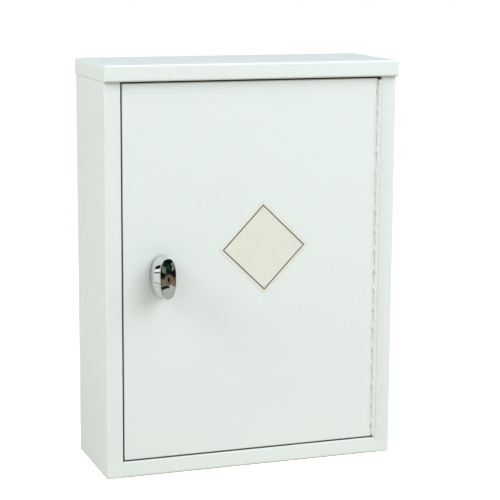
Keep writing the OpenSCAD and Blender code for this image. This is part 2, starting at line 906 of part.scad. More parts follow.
// The lower rod in X and Z about the lock's axis, pulled in: a hook for its pin and a long shank
module rod_outline(reach) {
    tip_cut = 2;
    left = -rod_offset - rod_w / 2;
    right = -rod_offset + rod_w / 2;
    head_left = -rod_head_in - rod_head_w;
    head_top = drive_xz + 5.5;
    shank_top = -rod_head_in - free_gap;
    slot_r = rod_slot_w / 2;
    slot_x = -drive_r + 0.2;
    difference() {
        polygon([
            [head_left, head_top], [-rod_head_in, head_top], [-rod_head_in, shank_top],
            [right, shank_top], [right, -reach + tip_cut],
            [right - tip_cut, -reach], [left + tip_cut, -reach], [left, -reach + tip_cut],
            [left, shank_top - 6], [head_left, shank_top - 2]
        ]);
        translate([slot_x, drive_xz]) circle(r = slot_r);
        translate([slot_x, drive_xz - slot_r]) square([rod_head_w + drive_r, rod_slot_w]);
    }
}

module locking_rod(reach) {
    translate([0, front_y + rod_back, 0])
        rotate([90, 0, 0]) linear_extrude(height = rod_t) rod_outline(reach);
}

module lower_rod() {
    color(steel)
        translate([lock_x, 0, lock_z]) locking_rod(lock_z - door_low - rod_tip_inset);
}

module upper_rod() {
    color(steel)
        translate([lock_x, 0, lock_z])
            mirror([1, 0, 0]) mirror([0, 0, 1]) locking_rod(door_top - rod_tip_inset - lock_z);
}

// ---- The whole cabinet ----

side_panel_left();
side_panel_right();
back_panel();
base_panel();
header_rail();
top_cap();
strips_left();
strips_right();
shelf_clips();
lower_shelf();
upper_shelf();
bottom_stop();
header_stop();
door_buffers();
hinge_frame_leaf();
hinge_pin();
hinge_door_leaf();
door_pan();
door_stiffener();
rod_guides();
lock_bush();
lock_washer();
lock_nut();
turn_handle();
drive_plate();
latch_spacer();
latch_tongue();
latch_washer();
latch_screw();
key_plug();
locking_bolt();
lower_rod();
upper_rod();
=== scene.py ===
# %% [markdown]
# # A lockable steel medicine cabinet
# This lesson dresses a finished CAD model of a small steel cabinet. The model is loaded as a fixed
# frame: every part is already in its place and at its real size. What is left is what a camera sees,
# which is paint, chrome, rubber, a bare plate on the door, and the small shapes that catch the light.

# %% Load the frame
import json
import math

import bpy
from mathutils import Matrix, Vector


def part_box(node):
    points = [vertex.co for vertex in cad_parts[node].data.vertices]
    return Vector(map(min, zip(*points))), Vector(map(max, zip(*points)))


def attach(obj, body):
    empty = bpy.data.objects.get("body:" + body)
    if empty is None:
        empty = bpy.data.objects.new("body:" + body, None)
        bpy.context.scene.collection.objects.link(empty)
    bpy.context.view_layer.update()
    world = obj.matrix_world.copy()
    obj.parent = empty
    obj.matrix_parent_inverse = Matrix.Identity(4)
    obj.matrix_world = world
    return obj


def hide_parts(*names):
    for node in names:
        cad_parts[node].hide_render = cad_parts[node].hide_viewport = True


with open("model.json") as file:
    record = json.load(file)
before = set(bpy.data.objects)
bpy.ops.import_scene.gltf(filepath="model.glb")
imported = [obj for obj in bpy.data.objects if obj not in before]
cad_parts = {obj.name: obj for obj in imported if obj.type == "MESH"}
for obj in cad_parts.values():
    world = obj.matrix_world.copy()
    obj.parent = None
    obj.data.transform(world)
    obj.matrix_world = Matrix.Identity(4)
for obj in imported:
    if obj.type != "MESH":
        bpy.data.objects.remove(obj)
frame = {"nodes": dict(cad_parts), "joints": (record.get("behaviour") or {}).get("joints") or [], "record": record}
MM = 0.001
nodes = frame["nodes"]
joints = {joint["name"]: joint for joint in frame["joints"]}
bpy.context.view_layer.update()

# %% [markdown]
# The places that the pieces share come from the frame, so nothing has to be fitted by eye: the door's
# face, the lock's axis and the hinge's pin.

# %% Shared places
DOOR_FACE_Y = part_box("door_pan")[0].y
LOCK = Vector(joints["handle_turn"]["pos_m"])
HINGE = Vector(joints["door_hinge"]["pos_m"])
print("door face", DOOR_FACE_Y, "lock", tuple(LOCK), "hinge", tuple(HINGE))

# %% [markdown]
# The camera stands to the left of the cabinet and a little above it, well back and with a long lens,
# so the upright edges stay almost parallel. Its rotation is built from three plain angles.

# %% Camera
CAMERA_PLACE = Vector((-0.6426, -1.8490, 0.6074))
CAMERA_YAW = math.radians(19.690)
CAMERA_PITCH = math.radians(10.372)
CAMERA_ROLL = math.radians(0.348)
CAMERA_LENS, CAMERA_SENSOR = 119.21, 36
CAMERA_NEAREST, CAMERA_FURTHEST = 0.05, 50


def make_camera():
    data = bpy.data.cameras.new("camera")
    data.lens = CAMERA_LENS
    data.sensor_width = CAMERA_SENSOR
    data.clip_start, data.clip_end = CAMERA_NEAREST, CAMERA_FURTHEST
    camera = bpy.data.objects.new("camera", data)
    bpy.context.scene.collection.objects.link(camera)
    turn = (Matrix.Rotation(-CAMERA_YAW, 4, "Z")
            @ Matrix.Rotation(math.pi / 2 - CAMERA_PITCH, 4, "X")
            @ Matrix.Rotation(CAMERA_ROLL, 4, "Z"))
    camera.matrix_world = Matrix.Translation(CAMERA_PLACE) @ turn
    bpy.context.scene.camera = camera
    bpy.context.scene.view_settings.view_transform = "Standard"
    return camera


camera = make_camera()
print("camera at", [round(v, 3) for v in camera.location], "lens", camera.data.lens)

# %% [markdown]
# A few small helpers make materials, shader nodes, objects and meshes, so that each later step says only
# what is its own. No surface here uses a picture: every colour, gloss and bump is made from noise in the
# object's own space, so it stays on its piece when the piece moves.

# %% Small helpers for shaders and meshes
def new_material(name):
    material = bpy.data.materials.new(name)
    material.use_nodes = True
    tree = material.node_tree
    tree.nodes.clear()
    output = tree.nodes.new("ShaderNodeOutputMaterial")
    shader = tree.nodes.new("ShaderNodeBsdfPrincipled")
    tree.links.new(shader.outputs[0], output.inputs["Surface"])
    return material, tree, shader


def add_node(tree, kind, sockets=None, **settings):
    made = tree.nodes.new(kind)
    for name, value in settings.items():
        setattr(made, name, value)
    for name, value in (sockets or {}).items():
        if isinstance(value, bpy.types.NodeSocket):
            tree.links.new(value, made.inputs[name])
        else:
            made.inputs[name].default_value = value
    return made


def on_object(tree):
    """The place of each point in the object's own space."""
    return add_node(tree, "ShaderNodeTexCoord").outputs["Object"]


def noise(tree, place, scale, detail):
    made = add_node(tree, "ShaderNodeTexNoise", {"Vector": place, "Scale": scale, "Detail": detail})
    return made.outputs["Fac"]


def noise_between(tree, place, scale, detail, low, high):
    """A noise whose middle values run from `low` to `high`."""
    return add_node(tree, "ShaderNodeMapRange",
                    {"Value": noise(tree, place, scale, detail), "From Min": 0.3, "From Max": 0.7,
                     "To Min": low, "To Max": high}).outputs[0]


def uneven_colour(tree, place, colour, scale, detail, darkest):
    """A colour that a faint noise darkens here and there, at most to the share `darkest`."""
    shade = noise_between(tree, place, scale, detail, darkest, 1.0)
    scaled = add_node(tree, "ShaderNodeVectorMath", {0: colour, "Scale": shade}, operation="SCALE")
    return scaled.outputs["Vector"]


def add_bump(tree, shader, height, strength, distance):
    bump = add_node(tree, "ShaderNodeBump", {"Height": height, "Strength": strength, "Distance": distance})
    tree.links.new(bump.outputs[0], shader.inputs["Normal"])


def add_object(name, data):
    made = bpy.data.objects.new(name, data)
    bpy.context.scene.collection.objects.link(made)
    return made


def mesh_object(name, vertices, faces, material, smooth=True):
    mesh = bpy.data.meshes.new(name)
    mesh.from_pydata(vertices, [], faces)
    mesh.validate()
    mesh.materials.append(material)
    mesh.shade_smooth() if smooth else mesh.shade_flat()
    return add_object(name, mesh)


# %% [markdown]
# A white object on a white ground is shown by small differences in light. Most of the light here is the
# room's own: soft, weaker overhead, and weaker from behind than from the front. The ground is a plain
# pale floor. More light could turn it white, but that light would fall on the cabinet as well. So the
# camera sees floor and room as white, whatever their light, and a shiny face sees them darker, as in a
# real studio, where the corners of the room are dim.

# %% Floor and room
# The room's light: at eye level, overhead, and behind the cabinet as a share of the light in front.
ROOM_STRENGTH, SKY_STRENGTH, ROOM_BEHIND = 0.81, 0.29, 0.6
# Where the light starts to fall off towards the back, and where that ends, as -1 front to 1 back.
FALL_START, FALL_END = -0.3, 0.6
ROOM_COLOUR = (0.92, 1.0, 1.06, 1)
FLOOR_COLOUR, FLOOR_ROUGHNESS, FLOOR_HALF = (0.56, 0.50, 0.39, 1), 0.9, 12
# How much of their white the camera sees on the floor, and shiny faces see of the room and the floor.
FLOOR_SEEN, ROOM_MIRRORED, FLOOR_MIRRORED = 0.90, 0.25, 0.15


def seen_directly(tree, mirrored):
    """1 where the camera looks, straight or through glass, and `mirrored` where a shiny face looks."""
    paths = add_node(tree, "ShaderNodeLightPath").outputs
    seen = add_node(tree, "ShaderNodeMath", {0: paths["Is Camera Ray"], 1: paths["Is Transmission Ray"]},
                    operation="MAXIMUM").outputs[0]
    return add_node(tree, "ShaderNodeMath", {0: paths["Is Glossy Ray"], 1: mirrored, 2: seen},
                    operation="MULTIPLY_ADD").outputs[0]


def make_floor():
    material, tree, shader = new_material("studio_floor")
    shader.inputs["Base Color"].default_value = FLOOR_COLOUR
    shader.inputs["Roughness"].default_value = FLOOR_ROUGHNESS
    shader.inputs["Specular IOR Level"].default_value = 0
    shader.inputs["Emission Color"].default_value = (1, 1, 1, 1)
    glow = add_node(tree, "ShaderNodeMath", {0: seen_directly(tree, FLOOR_MIRRORED), 1: FLOOR_SEEN},
                    operation="MULTIPLY")
    tree.links.new(glow.outputs[0], shader.inputs["Emission Strength"])
    corners = [(x * FLOOR_HALF, y * FLOOR_HALF, 0) for x, y in ((-1, -1), (1, -1), (1, 1), (-1, 1))]
    floor = mesh_object("floor", corners, [(0, 1, 2, 3)], material, smooth=False)


def make_room():
    world = bpy.data.worlds.new("room")
    bpy.context.scene.world = world
    world.use_nodes = True
    tree = world.node_tree
    background = tree.nodes["Background"]
    direction = add_node(tree, "ShaderNodeTexCoord").outputs["Generated"]
    parts = add_node(tree, "ShaderNodeSeparateXYZ", {"Vector": direction})
    sky = add_node(tree, "ShaderNodeMapRange",
                   {"Value": parts.outputs["Z"], "To Min": ROOM_STRENGTH, "To Max": SKY_STRENGTH})
    depth = add_node(tree, "ShaderNodeMapRange",
                     {"Value": parts.outputs["Y"], "From Min": FALL_START, "From Max": FALL_END,
                      "To Min": 1.0, "To Max": ROOM_BEHIND})
    soft = add_node(tree, "ShaderNodeMath", {0: sky.outputs[0], 1: depth.outputs[0]}, operation="MULTIPLY")
    background.inputs["Color"].default_value = ROOM_COLOUR
    tree.links.new(soft.outputs[0], background.inputs["Strength"])
    white = add_node(tree, "ShaderNodeBackground", {"Color": (1, 1, 1, 1), "Strength": 1.0})
    choice = add_node(tree, "ShaderNodeMixShader", {0: seen_directly(tree, ROOM_MIRRORED),
                                                    1: background.outputs[0], 2: white.outputs[0]})
    tree.links.new(choice.outputs[0], tree.nodes["World Output"].inputs["Surface"])


make_floor()
make_room()
print("floor", 2 * FLOOR_HALF, "m wide, room strength", ROOM_STRENGTH)

# %% [markdown]
# Lamps draw what even light can't: the shadow under the cap and the faint ones beside the handle. A
# large soft lamp stands at the upper right, a smaller one high on the left, and a weak one fills from
# the front left. They are discs that no reflection shows, so the chrome has no round spots.

# %% Lamps
# Name, place, target, size, watts and colour.
LAMPS = [
    ("front_fill", (-1.90, -2.50, 2.65), (0, 0, 0.24), 2.2, 11.0, (0.96, 0.985, 0.96)),
    ("right_key", (1.45, -1.62, 1.93), (0.1, 0, 0.24), 2.3, 53.0, (0.93, 0.955, 1.0)),
    ("left_key", (-2.4, -0.5, 1.95), (0, 0, 0), 1.3, 45.0, (0.955, 1.0, 0.995)),
]


def make_lamp(name, place, target, size, watts, colour):
    data = bpy.data.lights.new(name, "AREA")
    data.shape = "DISK"
    data.size = size
    data.energy = watts
    data.color = colour
    lamp = add_object(name, data)
    lamp.location = place
    lamp.visible_glossy = False
    lamp.rotation_euler = (Vector(target) - Vector(place)).to_track_quat("-Z", "Y").to_euler()


for lamp_facts in LAMPS:
    make_lamp(*lamp_facts)
print("lamps:", [name for name, *_ in LAMPS])

# %% [markdown]
# Chrome looks like chrome only where it has something dark to reflect. Plain cards give it that, and each
# is easy to move until it shows in the right place on the handle. Dark and coloured ones stand round the
# front, and two lie on the floor. Only reflections see them, so they don't shade the cabinet.

# %% Cards for the chrome
# Name, colour, radius, and from where to where it reaches: azimuths from the front to +X, and elevations.
CARDS = [
    ("dark_room", (0.004, 0.006, 0.005), 0.68, (-75, 80), (-10.5, 52)),
    ("dark_wing", (0.004, 0.006, 0.005), 0.68, (-135, -75), (-6, 72)),
    ("pale_wall", (0.76, 0.83, 0.79), 0.68, (-135, -60), (-30, -6)),
    ("brown_bench", (0.17, 0.115, 0.075), 0.67, (-60, 80), (-15.3, -10.4)),
    ("dark_shelf", (0.008, 0.02, 0.016), 0.66, (-60, 20), (-19.5, -15.6)),
    ("grey_door", (0.17, 0.19, 0.15), 0.66, (-28, 1), (-5.5, 1.2)),
    ("teal_curtain", (0.012, 0.04, 0.035), 0.66, (5, 22), (-2, 3.5)),
    ("pale_window", (0.27, 0.40, 0.42), 0.66, (30, 52), (1.2, 3.6)),
    ("beige_wall", (0.22, 0.21, 0.15), 0.66, (33, 58), (-4.5, 0.2)),
    ("side_light", (1, 1, 1), 0.66, (-101, -92), (-4, 2)),
    ("side_step", (0.22, 0.25, 0.24), 0.66, (-110, -88), (-17, -15.6)),
]
# Name, colour, and from where to where it lies on the floor: left to right, and front to back.
TABLES = [
    ("grey_table", (0.46, 0.49, 0.46), (-0.9, 0.9), (-0.78, -0.10)),
    ("side_table", (0.50, 0.53, 0.48), (-0.85, -0.19), (-0.10, 0.03)),
]
CARD_STEPS, CARD_LIFT = 24, 0.003


def glowing(name, colour):
    """A card's material, with light of its own and no reflection."""
    material, tree, shader = new_material(name)
    shader.inputs["Base Color"].default_value = (0, 0, 0, 1)
    shader.inputs["Specular IOR Level"].default_value = 0
    shader.inputs["Emission Color"].default_value = (*colour, 1)
    shader.inputs["Emission Strength"].default_value = 1
    return material


def reflected_only(card):
    card.visible_camera = False
    card.visible_diffuse = False
    card.visible_shadow = False
    card.visible_transmission = False


def make_card(name, colour, radius, azimuths, elevations):
    """An upright card bent round the handle."""
    rim = []
    for i in range(CARD_STEPS + 1):
        turn = math.radians(azimuths[0] + (azimuths[1] - azimuths[0]) * i / CARD_STEPS)
        rim.append((LOCK.x + radius * math.sin(turn), LOCK.y - radius * math.cos(turn)))
    heights = [max(LOCK.z + radius * math.tan(math.radians(e)), CARD_LIFT) for e in elevations]
    vertices = [(x, y, z) for z in heights for x, y in rim]
    faces = [(i, i + 1, i + CARD_STEPS + 2, i + CARD_STEPS + 1) for i in range(CARD_STEPS)]
    reflected_only(mesh_object(name, vertices, faces, glowing(name, colour)))


def make_table(name, colour, left_right, front_back):
    """A level card on the floor."""
    corners = [(x, y, CARD_LIFT) for y in front_back for x in left_right]
    reflected_only(mesh_object(name, corners, [(0, 1, 3, 2)], glowing(name, colour)))


for card_facts in CARDS:
    make_card(*card_facts)
for table_facts in TABLES:
    make_table(*table_facts)
print("cards:", len(CARDS), "upright and", len(TABLES), "on the floor")

# %% [markdown]
# Powder coat is a thick, tough paint that is baked on. It is semi-gloss, and close up its skin has a fine
# ripple like the peel of an orange. Two noises make that ripple as a bump, a slower one shifts the gloss,
# and a very faint one shifts the colour, so that no panel is perfectly even. Ambient Occlusion measures
# how closed in each point is, and the most closed in take a dull brown as painted shade, in the narrow
# gaps round the door and under the cap, so the gaps read as lines. The hinge is left without it.

# %% Painted steel
PAINT_SPECULAR, PEEL_DEPTH = 0.25, 0.0004
# Noises, each with its scale and detail, and how much two of them change.
PAINT_TINT, PAINT_GLOSS, COARSE_PEEL, FINE_PEEL = (9.0, 3.0), (45.0, 4.0), (420.0, 2.0), (1500.0, 1.0)
PAINT_DARKEST, GLOSS_CHANGE = 0.985, 0.05
# The painted shade in closed-in places, and how open a point is where it is full and where it ends.
CREVICE_SHADE_COLOUR, CREVICE_SHADE_REACH, CREVICE_SHADE_SAMPLES = (0.15, 0.13, 0.07, 1), 0.008, 8
CREVICE_SHADE_FULL, CREVICE_SHADE_ENDS = 0.1, 0.7


def make_paint(name, colour, roughness=0.36, ripple=0.10, crevice_shade=0.85):
    material, tree, shader = new_material(name)
    place = on_object(tree)
    tint = uneven_colour(tree, place, colour, *PAINT_TINT, PAINT_DARKEST)
    # Painted shade: points closed in by the gaps round the door and by the cap's overhang turn a dull brown.
    crevice = add_node(tree, "ShaderNodeAmbientOcclusion", {"Distance": CREVICE_SHADE_REACH},
                       samples=CREVICE_SHADE_SAMPLES)
    painted_shade = add_node(tree, "ShaderNodeMapRange",
                    {"Value": crevice.outputs["AO"], "From Min": CREVICE_SHADE_FULL, "From Max": CREVICE_SHADE_ENDS,
                     "To Min": crevice_shade, "To Max": 0.0})
    shade = add_node(tree, "ShaderNodeMix", {0: painted_shade.outputs[0], 6: tint, 7: CREVICE_SHADE_COLOUR}, data_type="RGBA")
    tree.links.new(shade.outputs[2], shader.inputs["Base Color"])
    rough = noise_between(tree, place, *PAINT_GLOSS, roughness - GLOSS_CHANGE, roughness + GLOSS_CHANGE)
    tree.links.new(rough, shader.inputs["Roughness"])
    shader.inputs["Specular IOR Level"].default_value = PAINT_SPECULAR
    coarse, fine = noise(tree, place, *COARSE_PEEL), noise(tree, place, *FINE_PEEL)
    peel = add_node(tree, "ShaderNodeMath", {0: coarse, 1: fine}, operation="ADD")
    add_bump(tree, shader, peel.outputs[0], ripple, PEEL_DEPTH)
    return material


PAINT_COLOUR = (0.79, 0.833, 0.815)
body_paint = make_paint("body_paint", PAINT_COLOUR)
door_paint = make_paint("door_paint", PAINT_COLOUR, roughness=0.33)
hinge_paint = make_paint("hinge_paint", (0.78, 0.82, 0.785), roughness=0.42, ripple=0.16, crevice_shade=0.0)
print("paints:", body_paint.name, door_paint.name, hinge_paint.name)

# %% [markdown]
# The bare metals: polished chrome for the handle, warm nickel on the key plug, and bright zinc on the
# pieces inside the door. Zinc plate is satin and a little uneven. Chrome is almost a mirror, with only
# faint hairlines from wiping.

# %% Metals and rubber
# Noises, each with its scale and detail, and the stretch that makes hairlines of the first.
HAIRLINES, METAL_TINT, RUBBER_SKIN = (1.0, 3.0), (130.0, 3.0), (2500.0, 2.0)
HAIRLINE_STRETCH = (60.0, 60.0, 900.0)
METAL_DARKEST, SMOOTHEST = 0.93, 0.01
# Strength and distance of the rubber's bump, and its least and most roughness.
RUBBER_BUMP, RUBBER_ROUGHNESS = (0.3, 0.0002), (0.6, 0.85)


def make_metal(name, colour, roughness, streak=0.05):
    material, tree, shader = new_material(name)
    shader.inputs["Metallic"].default_value = 1
    place = on_object(tree)
    stretched = add_node(tree, "ShaderNodeMapping", {"Vector": place, "Scale": HAIRLINE_STRETCH}).outputs[0]
    rough = noise_between(tree, stretched, *HAIRLINES, max(roughness - streak, SMOOTHEST),
                          roughness + streak)
    tree.links.new(rough, shader.inputs["Roughness"])
    tint = uneven_colour(tree, place, colour, *METAL_TINT, METAL_DARKEST)
    tree.links.new(tint, shader.inputs["Base Color"])
    return material


def make_rubber():
    material, tree, shader = new_material("black_rubber")
    grain = noise(tree, on_object(tree), *RUBBER_SKIN)
    add_bump(tree, shader, grain, *RUBBER_BUMP)
    least, most = RUBBER_ROUGHNESS
    rough = add_node(tree, "ShaderNodeMapRange", {"Value": grain, "To Min": least, "To Max": most})
    tree.links.new(rough.outputs[0], shader.inputs["Roughness"])
    shader.inputs["Base Color"].default_value = (0.02, 0.02, 0.02, 1)
    return material


chrome = make_metal("chrome", (0.82, 0.84, 0.83), 0.035, streak=0.02)
plug_metal = make_metal("plug_metal", (0.80, 0.62, 0.47), 0.38)
zinc = make_metal("zinc_plate", (0.66, 0.67, 0.66), 0.32, streak=0.08)
hinge_steel = make_metal("hinge_steel", (0.55, 0.56, 0.55), 0.3)
rubber = make_rubber()
print("metals:", chrome.name, plug_metal.name, zinc.name, hinge_steel.name)

# %% [markdown]
# Every CAD node keeps its shape and only changes its finish. The record says which finish each node has,
# so one small table of finishes dresses them all.

# %% Dress the CAD nodes
FINISHES = {
    "body_paint": body_paint, "door_paint": door_paint, "hinge_paint": hinge_paint,
    "zinc_steel": zinc, "hinge_steel": hinge_steel, "chrome": chrome,
    "plug_metal": plug_metal, "rubber": rubber,
}
for subpart in frame["record"]["subparts"]:
    dressed = nodes[subpart["node"]]
    dressed.data.materials.clear()
    dressed.data.materials.append(FINISHES[subpart["material_slot"]])

# %% [markdown]
# The handle is the one shape that must look polished. Its flank is hollow, so it is a loft: a stack of
# ovals that starts at the foot, narrows to a waist and ends in a domed grip. The CAD node has few rings
# and its mirror finish would show every facet. A subdivision of it would round its bores as well, so
# this piece repeats its loft with many more rings and a slightly fuller grip.

# %% The ovals of the turn handle
# Millimetres. OUT is a distance out from the door's face, and HALF is half a width and half a height.
BASE_OUT, FOOT_OUT, SHOULDER_OUT, WAIST_OUT, FLARE_OUT = 1.1, 3.0, 11.0, 18.5, 25.0
FOOT_HALF, SHOULDER_HALF, WAIST_HALF, GRIP_HALF = (13.2, 24.1), (11.7, 23.2), (7.0, 21.5), (9.75, 23.8)
FOOT_DROP, GRIP_LIFT, GRIP_ASIDE = 1.35, -0.05, 0.35
GRIP_OUT, GRIP_CROWN, RIM_RADIUS = 27.6, 1.8, 1.3
# How far the foot's edge tucks in, and how late the flank turns from the foot to the shoulder.
FOOT_TUCK, SHOULDER_BEND = 0.6, 2.2
RIM_STEPS, CROWN_STEPS, OVAL_SIDES, OVAL_FULLNESS = 12, 24, 144, 2 / 2.4


def flank_half(out, foot, shoulder, waist, grip):
    """Half a size of the handle at a distance out from the door, as in the CAD part."""
    if out < FOOT_OUT:
        return foot - FOOT_TUCK * ((FOOT_OUT - out) / (FOOT_OUT - BASE_OUT)) ** 2
    if out < SHOULDER_OUT:
        return foot - (foot - shoulder) * ((out - FOOT_OUT) / (SHOULDER_OUT - FOOT_OUT)) ** SHOULDER_BEND
    if out < WAIST_OUT:
        return shoulder + (waist - shoulder) * (out - SHOULDER_OUT) / (WAIST_OUT - SHOULDER_OUT)
    flare = min(1, (out - WAIST_OUT) / (FLARE_OUT - WAIST_OUT))
    return waist + (grip - waist) * flare * flare * (3 - 2 * flare)


def handle_rings():
    """The ovals of the handle: distance out, half width, half height, rise and shift to the right."""
    rings = []
    stretches = [(BASE_OUT, FOOT_OUT, 8), (FOOT_OUT, SHOULDER_OUT, 24), (SHOULDER_OUT, WAIST_OUT, 16),
                 (WAIST_OUT, FLARE_OUT, 24), (FLARE_OUT, GRIP_OUT - RIM_RADIUS, 4)]
    outs = [low + (high - low) * i / steps for low, high, steps in stretches for i in range(steps)]
    for out in outs:
        risen = min(1, max(0, (out - FOOT_OUT) / (FLARE_OUT - FOOT_OUT)))
        halves = [flank_half(out, *sizes)
                  for sizes in zip(FOOT_HALF, SHOULDER_HALF, WAIST_HALF, GRIP_HALF)]
        rise = -FOOT_DROP + (FOOT_DROP + GRIP_LIFT) * risen
        rings.append((out, *halves, rise, GRIP_ASIDE * risen ** 2))
    for i in range(RIM_STEPS + 1):
        turn = math.pi / 2 * i / RIM_STEPS
        gone = RIM_RADIUS * (1 - math.cos(turn))
        rings.append((GRIP_OUT - RIM_RADIUS * (1 - math.sin(turn)),
                      GRIP_HALF[0] - gone, GRIP_HALF[1] - gone, GRIP_LIFT, GRIP_ASIDE))
    for i in range(1, CROWN_STEPS):
        share = 1 - i / CROWN_STEPS
        halves = [(half - RIM_RADIUS) * share for half in GRIP_HALF]
        rings.append((GRIP_OUT + GRIP_CROWN * (1 - share ** 2), *halves,
                      GRIP_LIFT * share, GRIP_ASIDE * share))
    return rings


def oval(out, half_width, half_height, rise, aside, sides=OVAL_SIDES, fullness=OVAL_FULLNESS):
    """Points round an oval. At a fullness of 1 it is a plain ellipse, and lower is squarer."""
    points = []
    for k in range(sides):
        c, s = math.cos(2 * math.pi * k / sides), math.sin(2 * math.pi * k / sides)
        points.append((half_width * math.copysign(abs(c) ** fullness, c) + aside, -out,
                       half_height * math.copysign(abs(s) ** fullness, s) + rise))
    return points


print("handle:", len(handle_rings()), "ovals of", OVAL_SIDES, "points")

# %% [markdown]
# Every small solid on this cabinet can be a loft too: a block runs through two rectangles, and a turned
# piece through circles. So one helper makes the faces, and the others only say where the rings are.

# %% Solids in millimetres
def loft(rings):
    """Vertices and faces of a closed skin through rings of equal length, first ring to last."""
    sides = len(rings[0])
    vertices = [point for ring in rings for point in ring]
    faces = [tuple(range(sides))[::-1], tuple((len(rings) - 1) * sides + k for k in range(sides))]
    for j in range(len(rings) - 1):
        for k in range(sides):
            m = (k + 1) % sides
            faces.append((j * sides + k, j * sides + m, (j + 1) * sides + m, (j + 1) * sides + k))
    return vertices, faces


def turned(profile, sides=96):
    """A turned shape about the lock's axis, from (out, radius) pairs."""
    return loft([[(r * math.cos(2 * math.pi * k / sides), -out, r * math.sin(2 * math.pi * k / sides))
                  for k in range(sides)] for out, r in profile])


def block(low, high):
    (x0, y0, z0), (x1, y1, z1) = low, high
    corners = [(x0, y1, z0), (x1, y1, z0), (x1, y1, z1), (x0, y1, z1)]
    return loft([corners, [(x, y0, z) for x, y, z in corners]])


def solid(name, shape, place, material):
    """A mesh given in millimetres about a place."""
    vertices, faces = shape
    return mesh_object(name, [Vector(v) * MM + place for v in vertices], faces, material)


print("a block has", len(block((0, 0, 0), (1, 1, 1))[1]), "faces")

# %% [markdown]
# The stem, the collar round the plug, the neck and the spindle are joined to the handle, and the plug's
# bore, the crank's way, the bolt's slide and the tapped hole are cut from it, as in the CAD node. The
# exact solver takes longer than the fast one, and it leaves no hole where faces touch.

# %% Join and cut the turn handle
# Millimetres from the lock's axis and the door's face.
STEM_RADIUS, STEM_END, NECK_RADIUS, NECK_END = 8.0, -5.4, 3.5, -9.2
COLLAR_RADIUS, COLLAR_OUT, COLLAR_DEPTH, COLLAR_EDGE = 6.6, 31.0, 8, 0.25
SPINDLE = (-3, 8.7, -3), (3, 23.0, 3)
PLUG_BORE, PLUG_BORE_END = 5.5, 4.0
CRANK_WAY = [(-1.5, 2.4), (4.5, 2.4)]
BOLT_SLIDE = (-4.8, 1.4, -3.05), (16, 4.4, 3.05)
TAPPED_HOLE = [(-24, 2.55), (-11.1, 2.55)]
HANDLE_SHARP = math.radians(32)
LOCK_FACE = Vector((LOCK.x, DOOR_FACE_Y, LOCK.z))


def carve(name, base, joined, cut):
    """Joins some solids to the base, cuts others from it, and keeps only the result."""
    for other, operation in [(o, "UNION") for o in joined] + [(o, "DIFFERENCE") for o in cut]:
        step = base.modifiers.new(other.name, "BOOLEAN")
        step.object, step.operation, step.solver = other, operation, "EXACT"
    bpy.context.view_layer.update()
    mesh = bpy.data.meshes.new_from_object(base.evaluated_get(bpy.context.evaluated_depsgraph_get()))
    for other in [base, *joined, *cut]:
        bpy.data.objects.remove(other)
    mesh.name = name
    mesh.shade_smooth()
    mesh.set_sharp_from_angle(angle=HANDLE_SHARP)
    return add_object(name, mesh)


def make_handle():
    def part(name, shape):
        return solid(name, shape, LOCK_FACE, chrome)

    body = part("handle_body", loft([oval(*ring) for ring in handle_rings()]))
    edge = [(COLLAR_OUT - COLLAR_EDGE + COLLAR_EDGE * math.sin(turn),
             COLLAR_RADIUS - COLLAR_EDGE + COLLAR_EDGE * math.cos(turn))
            for turn in (0, 0.4, 0.8, 1.2, math.pi / 2)]
    joined = [
        part("stem", turned([(STEM_END, STEM_RADIUS), (BASE_OUT + 1, STEM_RADIUS)])),
        part("collar", turned([(COLLAR_OUT - COLLAR_DEPTH, COLLAR_RADIUS), *edge])),
        part("neck", turned([(NECK_END, NECK_RADIUS), (STEM_END + 1, NECK_RADIUS)])),
        part("spindle", block(*SPINDLE)),
    ]
    cut = [
        part("plug_bore", turned([(PLUG_BORE_END, PLUG_BORE), (COLLAR_OUT + 1, PLUG_BORE)])),
        part("crank_way", turned(CRANK_WAY)),
        part("bolt_slide", block(*BOLT_SLIDE)),
        part("tapped_hole", turned(TAPPED_HOLE)),
    ]
    handle = carve("smooth_handle", body, joined, cut)
    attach(handle, "handle")
    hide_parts("turn_handle")
    return handle


handle = make_handle()
print("handle triangles:", sum(len(p.vertices) - 2 for p in handle.data.polygons))

# %% [markdown]
# A diamond plate sits on the door at the height of the eye. It is a thin vinyl label with a printed border
# and nothing else, ready for whatever words its owner needs. The corners are rounded a little and the
# edge has a real thickness, so it catches a thin line of light.

# %% The bare diamond label
LABEL_CENTRE = Vector((0.0128, DOOR_FACE_Y, 0.2629))
LABEL_SIDE, LABEL_THICK, LABEL_CORNER, LABEL_EDGE = 78.8, 0.22, 1.2, 0.05
LABEL_TILT = math.radians(45 + 1.1)
BORDER_INSET, BORDER_WIDTH, MIDDLE_INSET = 3.6, 1.3, 20
CORNER_STEPS, LABEL_SHARP = 6, math.radians(30)
# Noises of the vinyl, each with its scale and detail, its darkest share, and its bump.
VINYL_TINT, VINYL_SKIN, VINYL_DARKEST, VINYL_BUMP = (60.0, 4.0), (900.0, 2.0), 0.97, (0.08, 0.0002)


def make_vinyl(name, colour, roughness):
    material, tree, shader = new_material(name)
    place = on_object(tree)
    tint = uneven_colour(tree, place, colour, *VINYL_TINT, VINYL_DARKEST)
    tree.links.new(tint, shader.inputs["Base Color"])
    shader.inputs["Roughness"].default_value = roughness
    add_bump(tree, shader, noise(tree, place, *VINYL_SKIN), *VINYL_BUMP)
    return material


def diamond_ring(inset, out):
    """Points round a rounded square stood on its corner, at a distance out from the door."""
    half, radius = LABEL_SIDE / 2 - inset, max(LABEL_CORNER - inset, LABEL_EDGE)
    cosine, sine = math.cos(LABEL_TILT), math.sin(LABEL_TILT)
    points = []
    for corner in range(4):
        middle = math.radians(90 * corner + 45)
        for step in range(CORNER_STEPS + 1):
            turn = math.radians(90 * corner + 90 / CORNER_STEPS * step)
            x = math.copysign(half - radius, math.cos(middle)) + radius * math.cos(turn)
            z = math.copysign(half - radius, math.sin(middle)) + radius * math.sin(turn)
            points.append((x * cosine - z * sine, -out, x * sine + z * cosine))
    return points


